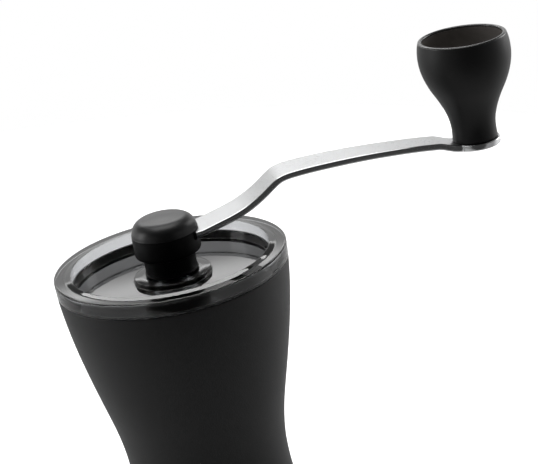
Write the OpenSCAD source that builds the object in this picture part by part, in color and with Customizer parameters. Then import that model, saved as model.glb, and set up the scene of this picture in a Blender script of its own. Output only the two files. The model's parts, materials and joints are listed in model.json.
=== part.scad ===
// Slim hand-cranked coffee mill: a waisted body over a grounds jar, a smoked lid,
// conical ceramic burrs on a steel shaft, and a lift-off crank with a cup-shaped knob.
// Millimetres, +Z up, origin at the middle of the jar's flat underside, crank along +X.

/* [Jar] */
// Height of the jar from the floor to its joint with the body
jar_h = 84; // [74:1:94]
// Radius of the jar at its widest ring
belly_r = 32.5; // [30:0.5:36]
// Height of the widest ring
belly_z = 45; // [35:1:55]
// Radius of the jar's side at floor level, before the edge is rounded
base_r = 31; // [28:0.5:34]
// Rounding of the jar's bottom edge
base_round = 4; // [2:0.5:6]
// Wall of the jar
jar_wall = 2.2; // [1.6:0.1:3]
// Thickness of the jar's floor
jar_floor = 3; // [2:0.5:5]
// Room for the screw thread between the jar's neck and the body's sleeve
thread_room = 1.7; // [1.2:0.1:3]
// Height of the neck above the joint
neck_h = 12; // [8:0.5:13]

/* [Body] */
// Height of the body from the jar joint to its top edge
body_h = 81.8; // [76:0.2:95]
// Radius of the waist
waist_r = 25.15; // [24.6:0.05:27]
// Height of the waist above the joint
waist_up = 19.5; // [14:0.5:24]
// Radius of the side where it flares most
flare_r = 28.05; // [27.2:0.05:30]
// Height of the steepest flare above the joint
flare_up = 40; // [36:0.5:46]
// Steepness of the flare, radius gained per height
flare_slope = 0.245; // [0.15:0.005:0.3]
// Radius of the body's top edge
body_top_r = 35.85; // [34.5:0.05:38]
// Steepness of the side at the top edge
top_slope = 0.07; // [0.02:0.01:0.15]
// Wall of the body
body_wall = 2.4; // [2:0.1:3]
// Height of the burr shelf's underside above the joint
shelf_up = 41; // [39:0.5:46]
// Thickness of the burr shelf
shelf_t = 2.5; // [2:0.25:4]
// Radius of the feed hole through the shelf
feed_r = 15; // [13:0.5:16]
// Slope of the hopper's floor down to the feed hole, height per radius
hopper_slope = 0.9; // [0.5:0.05:1.1]
// Number of spokes that carry the bearing boss
spokes = 3; // [2:1:4]
// Thickness of a spoke
spoke_t = 3.2; // [2:0.2:5]
// Height of the bearing boss
boss_h = 13; // [10:0.5:16]
// Height of the boss above the shelf's underside
boss_up = 11; // [9:0.5:14]

/* [Lid] */
// How far the lid's side stands out past the body's top edge
lid_step = 0.15; // [0:0.05:1]
// Height of the lid's rim above the body's top edge
rim_h = 5.2; // [4:0.1:7]
// Width of the rim from the outside to the recess
rim_w = 5.3; // [4.6:0.1:7]
// Depth of the recess below the rim
recess = 6.25; // [5:0.05:8]
// Wall of the lid
lid_wall = 2; // [1.4:0.1:2.2]
// Radius of the raised collar in the middle
collar_r = 11.9; // [10:0.1:14]
// Height of the collar above the recess floor
collar_h = 1.65; // [1:0.05:3]
// Rounding of the rim's edges
rim_round = 1.2; // [0.6:0.1:1.6]

/* [Shaft] */
// Radius of the drive shaft
shaft_r = 3.5; // [3:0.1:4]
// Corner radius of the six-sided end that drives the crank
hex_r = 4; // [3.6:0.1:4.6]
// Radius of the shaft's threaded lower end
thread_r = 2.5; // [2:0.1:2.8]
// Half width across the two driving flats
flat_half = 2.7; // [2.6:0.05:2.8]
// Radius of the shaft's collar
shaft_collar_r = 5.4; // [4.8:0.1:6.5]
// Thickness of the shaft's collar
shaft_collar_h = 2.6; // [1.6:0.2:4]
// Wall of the bearing bush
bush_wall = 2; // [1.2:0.1:3]
// Thickness of the bush's flange
bush_flange = 1.4; // [0.8:0.1:2.5]
// Thickness of the washers on the shaft
washer_t = 0.8; // [0.5:0.1:1.2]

/* [Burrs] */
// Height of the outer burr
outer_burr_h = 16; // [13:0.5:18]
// Outer radius of the outer burr
outer_burr_r = 19.5; // [18:0.1:19.8]
// Height of the inner burr
inner_burr_h = 15; // [12:0.5:15.5]
// Radius of the inner burr at its grinding edge
inner_burr_r = 14.5; // [12.5:0.1:15]
// Radius of the inner burr at its top
inner_top_r = 8; // [7:0.1:9]
// Gap between the burrs at the grinding edge, at the finest setting
grind_gap = 0.4; // [0.3:0.05:1]
// Height of the parallel grinding band
band_h = 4; // [3:0.5:6]
// Radius of the outer burr's mouth
mouth_r = 13; // [12:0.1:14.5]
// Number of fine teeth on each burr
fine_teeth = 30; // [20:1:36]
// Number of coarse flutes on each burr
coarse_teeth = 6; // [4:1:8]
// Wall of the burr holder
holder_wall = 2.3; // [1.8:0.1:2.6]
// Thickness of the lip under the outer burr
holder_lip = 2; // [1.5:0.1:3]
// Number of locking lugs on the burr holder
lugs = 3; // [2:1:4]
// Thickness of the carrier under the inner burr
carrier_h = 3.2; // [2.5:0.1:4.5]
// Radius of the carrier
carrier_r = 11.5; // [10:0.1:12.2]
// Height of the adjusting nut
nut_h = 7; // [5:0.5:8]
// Radius of the adjusting nut over its lobes
nut_r = 11; // [9:0.1:12]
// Number of finger grips round the nut
nut_grips = 8; // [5:1:12]
// Radius of the brass thread insert in the nut
insert_r = 4.5; // [3.8:0.1:5.5]
// Radius of the spring's wire
wire_r = 0.55; // [0.4:0.05:0.7]
// Radius of the spring at the middle of its wire
coil_r = 5.2; // [4.8:0.1:6]
// Number of turns in the spring
coil_turns = 4; // [3:1:5]

/* [Crank] */
// Radius of the hub and its cap
hub_r = 10.15; // [9.6:0.05:12]
// Radius of the hub's neck
hub_neck_r = 7.85; // [7:0.05:8.6]
// Height of the neck above the lid's collar
hub_neck_h = 5.9; // [3:0.05:7]
// Height of the hub from the top of the neck to the arm's upper face
hub_h = 6.4; // [5.5:0.05:9]
// Height of the cap above the arm
cap_h = 5.5; // [5:0.1:8]
// Rounding of the cap's top edge
cap_round = 4.2; // [2:0.1:4.4]
// Distance from the shaft to the knob's pin
crank_r = 99.8; // [90:0.2:120]
// Thickness of the arm
arm_t = 2; // [1.6:0.1:3]
// Width of the arm at the hub
arm_w = 12.6; // [11:0.2:14]
// Width of the arm next to the knob's eye
arm_tip_w = 10; // [8:0.2:11]
// Radius of the eye under the knob
eye_r = 7.7; // [7:0.1:9]
// Fillet in the corner between the arm and its eye
eye_fillet = 1.6; // [1:0.1:4]
// Rise of the arm from the hub to its highest stretch
arm_rise = 12.4; // [8:0.05:16]
// Drop of the arm from its highest stretch to the eye
arm_drop = 4.3; // [2:0.1:6]
// Distance from the shaft to the arm's steepest place
bend_x = 32; // [27:0.5:36]
// Steepness of the arm there
bend_slope = 0.72; // [0.6:0.02:0.95]

/* [Knob] */
// Height of the knob
knob_h = 32.5; // [26:0.1:40]
// Radius of the knob's foot
knob_foot_r = 7.05; // [6.4:0.05:7.4]
// Radius of the knob at its widest
knob_r = 14.25; // [12:0.05:16]
// Height of the widest ring
knob_wide_z = 27; // [22:0.1:28]
// Radius of the knob's rim
knob_rim_r = 13.45; // [11.5:0.05:14]
// Wall of the knob at its rim
knob_wall = 1.35; // [1:0.05:2]
// Depth of the cup in the knob
cup_depth = 20.5; // [16:0.5:21]
// Radius of the knob's pin
pin_r = 3; // [2.4:0.1:3.2]
// Radius of the pin's heads
pin_head_r = 4.6; // [4:0.1:5]
// Thickness of the washer under the knob
knob_washer_t = 0.5; // [0.3:0.1:1]

/* [Hidden] */
$fn = 96;
running = 0.05;      // radial clearance of a turning fit
sliding = 0.1;       // radial clearance of a sliding or seated fit
face_gap = 0.1;      // gap between flat faces of pieces that turn or lift apart
lid_play = 0.3;      // gap round the lid's plug in the body's mouth
cut = 1;             // overshoot of a cut past the face that it opens
steps_side = 26;     // straight pieces along a long curved side
steps_round = 8;     // straight pieces along a rounded edge
wire_sides = 6;      // flats round the spring's wire
curl_rings = 8;      // rings of the spring's mesh in one turn
adjust_travel = 1.5; // how far the adjusting nut lets the inner burr down
neck_chamfer = 0.6;  // chamfer of the jar's neck
neck_shoulder = 1.2; // height of the neck's bore below the shoulder's inside
belly_join = 3;      // height left for the slant from the jar's side to its neck
body_lip = 0.8;      // chamfer at the body's two ends
mouth_lip_h = 1.7;   // height of the lip at the body's mouth, inside the lid's rim
mouth_lip_t = 1.2;   // thickness of that lip
mouth_lip_edge = 0.3; // chamfer of that lip
groove_room = 0.2;   // room round that lip in the lid's groove
spoke_step = 1.5;    // how far a spoke is set back from the boss's ends
boss_wall = 2.2;     // wall of the bearing boss
socket_roof = 1.5;   // thickness of the hub above the shaft's end
hole_room = 1.4;     // room round the shaft's six-sided end in the lid's hole
plug_chamfer = 0.5;  // chamfer at the foot of the lid's plug
floor_fillet = 0.5;  // fillet round the recess floor
floor_in = 0.2;      // how far the recess narrows from its top to its floor
collar_fillet = 0.4; // fillet at the foot of the collar
collar_chamfer = 0.3; // chamfer of the collar's top edge
washer_over = 1.2;   // how far a washer reaches past what it carries
fine_skew = 18;      // slant of the fine teeth
fine_w = 1.5;        // half width of a fine groove's cutter
fine_deep = 0.7;     // depth of a fine groove
coarse_skew = 26;    // slant of the coarse flutes
coarse_w = 3;        // half width of a coarse flute's cutter
coarse_deep = 2.1;   // depth of a coarse flute
dog_w = 3;           // width of the carrier's driving dogs
dog_h = 1.8;         // height of the dogs
dog_in = 1.6;        // wall between the shaft and a dog
grounds_room = 1.8;  // room for the grounds between the burr's edge and the holder's lip
clicks = 12;         // dimples under the carrier that the nut clicks into
click_r = 0.8;       // radius of a dimple
click_in = 2.6;      // distance of the dimples from the carrier's edge
click_deep = 0.5;    // depth of a dimple
grip_r = 2.6;        // radius of the nut's finger grips
arm_tail = 2.5;      // how far the middle of the arm's round end lies behind the shaft
ramp_share = 0.125;  // share of the rise half way to the steepest place
climb_share = 0.323; // share of the rise three quarters of the way there
bend_share = 0.682;  // share of the rise at the steepest place
knee_share = 0.877;  // share of the rise where the knee starts
knee_top = 0.949;    // share of the rise where the knee ends
knee_run = 3.6;      // distance from the steepest place to the start of the knee
knee_len = 2.6;      // length of the knee
bend_run = 10;       // distance from the steepest place to the end of the bend
bend_top = 0.982;    // share of the rise at the end of the bend
crest_run = 18;      // distance from the steepest place to the arm's highest place
sag_share = 0.14;    // share of the drop at seven tenths of the crank's radius
dip_share = 0.512;   // share of the drop where the arm dips to the eye
dip_run = 7.2;       // length of that dip
eye_flat = 2.1;      // how far the level stretch starts inside the eye
cap_relief = 0.2;    // room over the arm in the cap's edge
under_round = 1.9;   // rounding of the hub's underside
hub_foot_out = 0.75; // how far the ring at the neck's foot stands out
hub_foot_h = 0.8;    // height of that ring
cap_inset = 0.2;     // how far the cap's rounding is set in from its side
cap_dome = 0.4;      // height of the cap's dome
slot_w = 0.7;        // width and depth of a screw's slot
pin_head_t = 1.4;    // thickness of the pin's head in the cup
knob_washer_in = 1.3; // how far the washer is set in from the knob's foot
washer_room = 0.2;   // room round that washer in the knob's counterbore
knob_foot_edge = 0.6; // chamfer of the knob's foot
knob_ankle_z = 3.5;  // height of the knob's narrowest ring
knob_ankle_in = 0.2; // how far the knob narrows there
knob_swell = 0.575;  // share of the widest ring's height where the side is steepest
cup_corner = 3;      // height of the slant round the cup's floor

// Heights of the faces where pieces meet
body_z = jar_h + face_gap;
body_top = jar_h + body_h;
shelf_z = jar_h + shelf_up;
shelf_top = shelf_z + shelf_t;
boss_z = shelf_z + boss_up;
boss_top = boss_z + boss_h;
rim_top = body_top + face_gap + rim_h;
recess_z = rim_top - recess;
collar_top = recess_z + collar_h;
burr_z = shelf_z - outer_burr_h;
holder_z = burr_z - holder_lip;
carrier_z = burr_z - carrier_h;
nut_top = carrier_z - face_gap;
nut_z = nut_top - nut_h;
inner_burr_top = burr_z + inner_burr_h;
spring_z = inner_burr_top + washer_t;
spring_top = boss_z - face_gap - washer_t;
bush_top = boss_top + bush_flange;
thrust_z = bush_top + face_gap;
shaft_collar_z = thrust_z + washer_t;
shaft_collar_top = shaft_collar_z + shaft_collar_h;
shaft_z = nut_z - adjust_travel;
hub_z = collar_top + 3 * face_gap;
neck_top = hub_z + hub_neck_h;
seam_z = neck_top + hub_h;
arm_z = seam_z - arm_t;
socket_top = arm_z - socket_roof;
shaft_top = socket_top - face_gap;
eye_top = seam_z + arm_rise - arm_drop;
knob_washer_z = eye_top;
knob_z = eye_top + face_gap;
cup_z = knob_z + knob_h - cup_depth;

// Radii that follow from the fits
bush_r = shaft_r + running;
bush_outer_r = bush_r + bush_wall;
boss_r = bush_outer_r + boss_wall;
holder_r = outer_burr_r + sliding + holder_wall;
bore_r = holder_r + sliding;
neck_r = bore_r - thread_room;
lug_reach = 0.9;
lug_w = 9;
lug_h = 2.6;
mouth_r_in = body_top_r - body_wall;
mouth_r_out = mouth_r_in + mouth_lip_t;
mouth_top = body_top + mouth_lip_h;
plug_r = mouth_r_in - lid_play;
lid_r = body_top_r + lid_step;
recess_r = lid_r - rim_w;
lid_hole_r = hex_r + hole_room;
pin_bore_r = pin_r + running;
screw_x = 6.3;
screw_r = 1.25;
screw_head_r = 2.3;
screw_head_h = 1.5;
screw_l = 5.5;
hub_foot_r = hub_neck_r + hub_foot_out;

// A smooth curve through stations [position, value, slope], one cubic between two stations
function span(s, x, i = 0) = (i >= len(s) - 2 || x <= s[i + 1][0]) ? i : span(s, x, i + 1);
function curve(s, x) =
    let (i = span(s, x), a = s[i], b = s[i + 1], h = b[0] - a[0], t = (x - a[0]) / h)
    a[1] * (1 + 2 * t) * (1 - t) ^ 2 + b[1] * t ^ 2 * (3 - 2 * t)
    + h * (a[2] * t * (1 - t) ^ 2 - b[2] * t ^ 2 * (1 - t));
function curve_slope(s, x) =
    let (i = span(s, x), a = s[i], b = s[i + 1], h = b[0] - a[0], t = (x - a[0]) / h)
    6 * t * (1 - t) * (b[1] - a[1]) / h + a[2] * (1 - t) * (1 - 3 * t) + b[2] * t * (3 * t - 2);
function steps(a, b, n) = [for (i = [0 : n]) a + (b - a) * i / n];
function side(s, low, high, inset = 0, n = steps_side) =
    [for (z = steps(low, high, n)) [curve(s, z) - inset, z]];
function reversed(p) = [for (i = [len(p) - 1 : -1 : 0]) p[i]];
function round_edge(c, r, from, to, n = steps_round) =
    [for (a = steps(from, to, n)) c + r * [cos(a), sin(a)]];

// Outside of the jar and the body in one line, from the floor to the body's top edge
outside = [[0, base_r, (belly_r - base_r) * 1.6 / belly_z],
           [belly_z, belly_r, 0],
           [jar_h + waist_up, waist_r, 0],
           [jar_h + flare_up, flare_r, flare_slope],
           [body_top, body_top_r, top_slope]];

module ring(r_out, r_in, z, h) {
    translate([0, 0, z])
        difference() {
            cylinder(r = r_out, h = h);
            translate([0, 0, -cut]) cylinder(r = r_in, h = h + 2 * cut);
        }
}

module round_array(n) {
    for (i = [0 : n - 1]) rotate([0, 0, i * 360 / n]) children();
}

// Jar

module jar() {
    edge = base_round;
    inner_floor_r = curve(outside, jar_floor + edge) - jar_wall - edge / 2;
    shoulder_in = jar_h - jar_wall;
    neck_in = neck_r - jar_wall;
    foot_r = curve(outside, edge) - edge;
    color([0.09, 0.09, 0.1, 0.75])
        rotate_extrude()
            polygon(concat(
                [[0, 0]],
                round_edge([foot_r, edge], edge, -90, 0),
                side(outside, edge + 1, jar_h),
                [[neck_r, jar_h], [neck_r, jar_h + neck_h - neck_chamfer],
                 [neck_r - neck_chamfer, jar_h + neck_h], [neck_in, jar_h + neck_h],
                 [neck_in, shoulder_in - neck_shoulder]],
                reversed(side(outside, jar_floor + edge, shoulder_in - belly_join, jar_wall)),
                [[inner_floor_r, jar_floor], [0, jar_floor]]));
}

// Body: hopper, burr shelf, bearing boss on spokes, and the sleeve over the jar's neck

module body_shell() {
    hopper_low_r = feed_r;
    hopper_wall_z = [for (z = steps(shelf_top, body_top, 80))
        if (shelf_top + (curve(outside, z) - body_wall - feed_r) * hopper_slope <= z) z][0];
    lip = body_lip;
    rotate_extrude()
        polygon(concat(
            [[bore_r, body_z + lip], [bore_r + lip, body_z]],
            side(outside, body_z, body_top - lip),
            [[body_top_r - lip / 2, body_top], [mouth_r_out, body_top],
             [mouth_r_out, mouth_top - mouth_lip_edge], [mouth_r_out - mouth_lip_edge, mouth_top],
             [mouth_r_in, mouth_top]],
            reversed(side(outside, hopper_wall_z, body_top - lip, body_wall)),
            [[hopper_low_r, shelf_top], [hopper_low_r, shelf_z], [bore_r, shelf_z]]));
}

module spokes_and_boss() {
    spoke_h = boss_h - 2 * spoke_step;
    intersection() {
        rotate_extrude()
            polygon(concat([[0, boss_z]],
                           side(outside, boss_z, boss_top, body_wall / 2),
                           [[0, boss_top]]));
        round_array(spokes)
            translate([0, -spoke_t / 2, boss_z + spoke_step]) cube([body_top_r, spoke_t, spoke_h]);
    }
    translate([0, 0, boss_z]) cylinder(r = boss_r, h = boss_h);
}

module lug_shape(grow) {
    round_array(lugs)
        translate([holder_r - cut, -lug_w / 2 - grow, holder_z - grow])
            cube([cut + lug_reach + grow, lug_w + 2 * grow, lug_h + 2 * grow]);
}

module mill_body() {
    color([0.055, 0.057, 0.06])
        difference() {
            union() {
                body_shell();
                spokes_and_boss();
            }
            translate([0, 0, boss_z - cut]) cylinder(r = bush_outer_r, h = boss_h + 2 * cut);
            lug_shape(sliding);
        }
}

// Lid: a thick rim, a plug in the body's mouth, a recessed floor and a collar round the shaft

module lid() {
    skirt_z = body_top + face_gap;
    r = rim_round;
    outer = lid_r - r;
    inner = recess_r + r;
    floor_z = recess_z - lid_wall;
    collar_in = collar_r - lid_wall;
    groove_r = mouth_r_out + groove_room;
    groove_top = mouth_top + groove_room;
    color([0.12, 0.12, 0.13, 0.7])
        rotate_extrude()
            polygon(concat(
                [[body_top_r, skirt_z]],
                round_edge([outer, rim_top - r], r, 0, 90),
                round_edge([inner, rim_top - r], r, 90, 180),
                round_edge([recess_r - floor_in - floor_fillet, recess_z + floor_fillet],
                           floor_fillet, 0, -90, 4),
                round_edge([collar_r + collar_fillet, recess_z + collar_fillet],
                           collar_fillet, 270, 180, 4),
                [[collar_r, collar_top - collar_chamfer], [collar_r - collar_chamfer, collar_top],
                 [lid_hole_r, collar_top], [lid_hole_r, collar_top - lid_wall],
                 [collar_in, collar_top - lid_wall], [collar_in, floor_z],
                 [plug_r - plug_chamfer, floor_z], [plug_r, floor_z + plug_chamfer],
                 [plug_r, groove_top], [groove_r, groove_top], [groove_r, skirt_z]]));
}

// Shaft and what runs on it

module shaft_bush() {
    color([0.82, 0.82, 0.78])
        difference() {
            union() {
                translate([0, 0, boss_z]) cylinder(r = bush_outer_r, h = boss_h);
                translate([0, 0, boss_top]) cylinder(r = boss_r, h = bush_flange);
            }
            translate([0, 0, boss_z - cut]) cylinder(r = bush_r, h = boss_h + bush_flange + 2 * cut);
        }
}

module flatted(r, half, h) {
    intersection() {
        cylinder(r = r, h = h);
        translate([-r, -half, 0]) cube([2 * r, 2 * half, h]);
    }
}

module drive_shaft() {
    flats_h = carrier_h + adjust_travel;
    color([0.72, 0.73, 0.74]) {
        translate([0, 0, shaft_z]) cylinder(r = thread_r, h = carrier_z - shaft_z);
        translate([0, 0, carrier_z]) flatted(shaft_r, flat_half, flats_h);
        translate([0, 0, carrier_z + flats_h])
            cylinder(r = shaft_r, h = shaft_collar_z - carrier_z - flats_h);
        translate([0, 0, shaft_collar_z]) cylinder(r = shaft_collar_r, h = shaft_collar_h);
        translate([0, 0, shaft_collar_top])
            cylinder(r = hex_r, h = shaft_top - shaft_collar_top, $fn = 6);
    }
}

module thrust_washer() {
    color([0.75, 0.75, 0.72]) ring(shaft_collar_r + washer_over, shaft_r + sliding, thrust_z, washer_t);
}

module upper_spring_washer() {
    color([0.75, 0.75, 0.72]) ring(coil_r + washer_over, shaft_r + sliding, spring_top, washer_t);
}

module lower_spring_washer() {
    color([0.75, 0.75, 0.72]) ring(coil_r + washer_over, shaft_r + sliding, inner_burr_top, washer_t);
}

// Spring: one helical tube between the two washers

spring_rings = coil_turns * curl_rings;
spring_low = spring_z + wire_r;
spring_rise = spring_top - wire_r - spring_low;
// Ring 0 and the last ring end the straight stretches, one wire thickness long, past the turns
function turn(i) = min(max(i - 1, 0), spring_rings);
function wire_middle(i) =
    let (k = turn(i), a = k * 360 / curl_rings, past = 2 * wire_r * (i - 1 - k))
    [coil_r * cos(a), coil_r * sin(a), spring_low + spring_rise * k / spring_rings]
    + past * [-sin(a), cos(a), 0];
function wire_point(i, j) =
    let (a = turn(i) * 360 / curl_rings, b = j * 360 / wire_sides)
    wire_middle(i) + wire_r * [cos(b) * cos(a), cos(b) * sin(a), sin(b)];
last_ring = spring_rings + 2;
spring_gap = min([for (i = [0 : last_ring], k = [0 : last_ring])
    if (k - i >= curl_rings / 2) norm(wire_middle(i) - wire_middle(k)) - 2 * wire_r]);
echo(spring_gap_to_itself_mm = spring_gap);

module burr_spring() {
    s = wire_sides;
    points = [for (i = [0 : last_ring], j = [0 : s - 1]) wire_point(i, j)];
    walls = [for (i = [0 : last_ring - 1], j = [0 : s - 1])
        let (a = i * s + j, b = i * s + (j + 1) % s) each [[a, a + s, b + s], [a, b + s, b]]];
    first = [for (j = [1 : s - 2]) [0, j, j + 1]];
    last = [for (j = [1 : s - 2]) last_ring * s * [1, 1, 1] + [0, j + 1, j]];
    color([0.7, 0.71, 0.72]) polyhedron(points, concat(walls, first, last));
}

// Burrs: cones with slanted V grooves

module tooth_cut(r, z, lean, skew, wide, deep, long) {
    translate([r, 0, z])
        rotate([0, -lean, 0])
            rotate([skew, 0, 0])
                translate([0, 0, -long / 2])
                    linear_extrude(height = long)
                        polygon([[cut, -wide], [cut, wide], [-deep, 0]]);
}

module inner_burr() {
    lean = atan((inner_burr_r - inner_top_r) / inner_burr_h);
    fine_z = burr_z + band_h / 2;
    fine_r = inner_burr_r - tan(lean) * band_h / 2;
    coarse_z = burr_z + (inner_burr_h + band_h) / 2;
    coarse_r = inner_burr_r - tan(lean) * (inner_burr_h + band_h) / 2;
    color([0.93, 0.92, 0.89])
        difference() {
            translate([0, 0, burr_z]) cylinder(r1 = inner_burr_r, r2 = inner_top_r, h = inner_burr_h);
            translate([0, 0, burr_z - cut]) cylinder(r = shaft_r + sliding, h = inner_burr_h + 2 * cut);
            round_array(fine_teeth)
                tooth_cut(fine_r, fine_z, lean, fine_skew, fine_w, fine_deep, 3 * band_h);
            round_array(coarse_teeth)
                tooth_cut(coarse_r, coarse_z, lean, coarse_skew, coarse_w, coarse_deep, inner_burr_h);
            dogs(sliding);
        }
}

module dogs(grow) {
    side = dog_w + 2 * grow;
    round_array(2)
        translate([shaft_r + dog_in - grow, -side / 2, burr_z - cut])
            cube([side, side, cut + dog_h + grow]);
}

module outer_burr() {
    lean_in = atan((inner_burr_r - inner_top_r) / inner_burr_h);
    edge_r = inner_burr_r + grind_gap;
    band_top_r = edge_r - tan(lean_in) * band_h;
    lean = atan((band_top_r - mouth_r) / (outer_burr_h - band_h));
    color([0.93, 0.92, 0.89])
        difference() {
            translate([0, 0, burr_z]) cylinder(r = outer_burr_r, h = outer_burr_h);
            translate([0, 0, burr_z])
                rotate_extrude()
                    polygon([[0, -cut], [edge_r + cut * tan(lean_in), -cut], [band_top_r, band_h],
                             [mouth_r, outer_burr_h], [mouth_r, outer_burr_h + cut],
                             [0, outer_burr_h + cut]]);
            round_array(fine_teeth)
                mirror([1, 0, 0])
                    tooth_cut(-(edge_r + band_top_r) / 2, burr_z + band_h / 2, -lean_in, -fine_skew,
                              fine_w, fine_deep, 2 * band_h);
            round_array(coarse_teeth)
                mirror([1, 0, 0])
                    tooth_cut(-(band_top_r + mouth_r) / 2, burr_z + (outer_burr_h + band_h) / 2,
                              -lean, -coarse_skew, coarse_w, coarse_deep, 1.6 * outer_burr_h);
        }
}

module burr_holder() {
    lip_r = inner_burr_r + grind_gap + grounds_room;
    color([0.07, 0.07, 0.075]) {
        difference() {
            translate([0, 0, holder_z]) cylinder(r = holder_r, h = shelf_z - holder_z);
            translate([0, 0, burr_z])
                cylinder(r = outer_burr_r + sliding, h = outer_burr_h + cut);
            translate([0, 0, holder_z - cut]) cylinder(r = lip_r, h = holder_lip + 2 * cut);
        }
        lug_shape(0);
    }
}

module burr_carrier() {
    color([0.1, 0.1, 0.105])
        difference() {
            union() {
                translate([0, 0, carrier_z]) cylinder(r = carrier_r, h = carrier_h);
                dogs(0);
            }
            translate([0, 0, carrier_z - cut])
                flatted(shaft_r + sliding, flat_half + sliding, carrier_h + 2 * cut);
            round_array(clicks)
                translate([carrier_r - click_in, 0, carrier_z - cut])
                    cylinder(r = click_r, h = cut + click_deep, $fn = 24);
        }
}

module adjusting_nut() {
    color([0.1, 0.1, 0.105])
        difference() {
            translate([0, 0, nut_z]) cylinder(r = nut_r, h = nut_h);
            translate([0, 0, nut_z - cut]) cylinder(r = insert_r, h = nut_h + 2 * cut);
            round_array(nut_grips)
                translate([nut_r + grip_r / 2, 0, nut_z - cut])
                    cylinder(r = grip_r, h = nut_h + 2 * cut, $fn = 48);
        }
}

module nut_insert() {
    color([0.72, 0.56, 0.26]) ring(insert_r, thread_r + running, nut_z, nut_h);
}

// Crank: hub and cap clamp the arm, and the knob turns on a riveted pin

arm_start = screw_x + screw_head_r + sliding;
arm_level = crank_r - eye_r + eye_flat;
arm_end = crank_r + eye_r + cut;
arm_line = [[0, 0, 0],
            [arm_start, 0, 0],
            [bend_x / 2, ramp_share * arm_rise, 0.25],
            [bend_x * 3 / 4, climb_share * arm_rise, 0.4],
            [bend_x, bend_share * arm_rise, bend_slope],
            [bend_x + knee_run, knee_share * arm_rise, 0.55],
            [bend_x + knee_run + knee_len, knee_top * arm_rise, 0.19],
            [bend_x + bend_run, bend_top * arm_rise, 0.06],
            [bend_x + crest_run, arm_rise, 0],
            [0.7 * crank_r, arm_rise - sag_share * arm_drop, -0.065],
            [arm_level - dip_run, arm_rise - dip_share * arm_drop, -0.14],
            [arm_level, arm_rise - arm_drop, 0],
            [arm_end, arm_rise - arm_drop, 0]];

function arm_edge(x, down) =
    let (s = curve_slope(arm_line, x), n = [-s, 1] / norm([s, 1]))
    [x, seam_z + curve(arm_line, x)] - down * n;

module arm_side() {
    run = concat([-hub_r], steps(arm_start, bend_x, 22),
                 steps(bend_x + 0.6, bend_x + bend_run, 16),
                 steps(bend_x + bend_run + 2, arm_level - dip_run, 16),
                 steps(arm_level - dip_run + 0.6, arm_level, 8), [arm_end]);
    top = [for (x = run) x < 0 ? [x, seam_z] : arm_edge(x, 0)];
    bottom = [for (x = run) x < 0 ? [x, arm_z] : arm_edge(x, arm_t)];
    rotate([90, 0, 0])
        translate([0, 0, -arm_w])
            linear_extrude(height = 2 * arm_w) polygon(concat(top, reversed(bottom)));
}

// Outline of the arm from above: a round end in the hub, a taper, and a round eye with filleted corners
arm_tip = arm_tip_w / 2;
fillet_x = crank_r - sqrt((eye_r + eye_fillet) ^ 2 - (arm_tip + eye_fillet) ^ 2);
fillet_turn = atan2(arm_tip + eye_fillet, crank_r - fillet_x);
arm_taper = [[hub_r, arm_w / 2, 0],
             [0.45 * crank_r, 0.95 * arm_w / 2 + 0.05 * arm_tip, -0.012],
             [0.66 * crank_r, 0.4 * arm_w / 2 + 0.6 * arm_tip, -0.03],
             [fillet_x, arm_tip, 0]];

module arm_plan(grow = 0) {
    edge = concat(
        [for (x = steps(hub_r, fillet_x, 14)) [x, curve(arm_taper, x)]],
        round_edge([fillet_x, arm_tip + eye_fillet], eye_fillet, -90 + fillet_turn / 7, -fillet_turn, 6));
    polygon(concat(
        round_edge([-arm_tail, 0], arm_w / 2 + grow, 90, 270, 24),
        [for (p = edge) [p[0], -p[1] - grow]],
        round_edge([crank_r, 0], eye_r + grow, fillet_turn - 180 + 4, 180 - 4 - fillet_turn, 40),
        [for (p = reversed(edge)) [p[0], p[1] + grow]]));
}

module crank_arm() {
    color([0.78, 0.785, 0.79])
        difference() {
            intersection() {
                arm_side();
                translate([0, 0, arm_z - cut])
                    linear_extrude(height = arm_t + arm_rise + 2 * cut) arm_plan();
            }
            translate([crank_r, 0, arm_z]) cylinder(r = pin_r, h = arm_rise + arm_t + cut);
            for (x = [-screw_x, screw_x])
                translate([x, 0, arm_z - cut]) cylinder(r = screw_r + sliding, h = arm_t + 2 * cut);
        }
}

module crank_hub() {
    under = under_round;
    color([0.05, 0.05, 0.052])
        difference() {
            rotate_extrude()
                polygon(concat(
                    [[0, hub_z], [hub_foot_r, hub_z], [hub_foot_r, hub_z + hub_foot_h],
                     [hub_neck_r, hub_z + hub_foot_h], [hub_neck_r, neck_top]],
                    round_edge([hub_r - under, neck_top + under], under, -80, 0),
                    [[hub_r, seam_z], [0, seam_z]]));
            translate([0, 0, hub_z - cut])
                cylinder(r = hex_r + sliding, h = socket_top - hub_z + cut, $fn = 6);
            translate([0, 0, arm_z])
                linear_extrude(height = arm_t + cut)
                    intersection() {
                        arm_plan(sliding);
                        translate([-hub_r, -hub_r]) square([2 * hub_r + cut, 2 * hub_r]);
                    }
            for (x = [-screw_x, screw_x])
                translate([x, 0, arm_z - screw_l + arm_t]) cylinder(r = screw_r, h = screw_l);
        }
}

module hub_cap() {
    top_z = seam_z + cap_h;
    flat_r = hub_r - cap_inset - cap_round;
    color([0.06, 0.061, 0.063])
        difference() {
            rotate_extrude()
                polygon(concat(
                    [[0, seam_z], [hub_r, seam_z]],
                    round_edge([flat_r, top_z - cap_dome - cap_round], cap_round, 0, 84),
                    [for (t = steps(0, 1, 5)) [flat_r * (1 - t), top_z - cap_dome * (1 - t) ^ 2]]));
            for (x = [-screw_x, screw_x])
                translate([x, 0, seam_z - cut])
                    cylinder(r = screw_head_r + sliding, h = screw_head_h + sliding + cut);
            translate([0, 0, seam_z - cut])
                linear_extrude(height = cut + cap_relief)
                    intersection() {
                        arm_plan(sliding);
                        translate([screw_x, -hub_r]) square([hub_r, 2 * hub_r]);
                    }
        }
}

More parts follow.
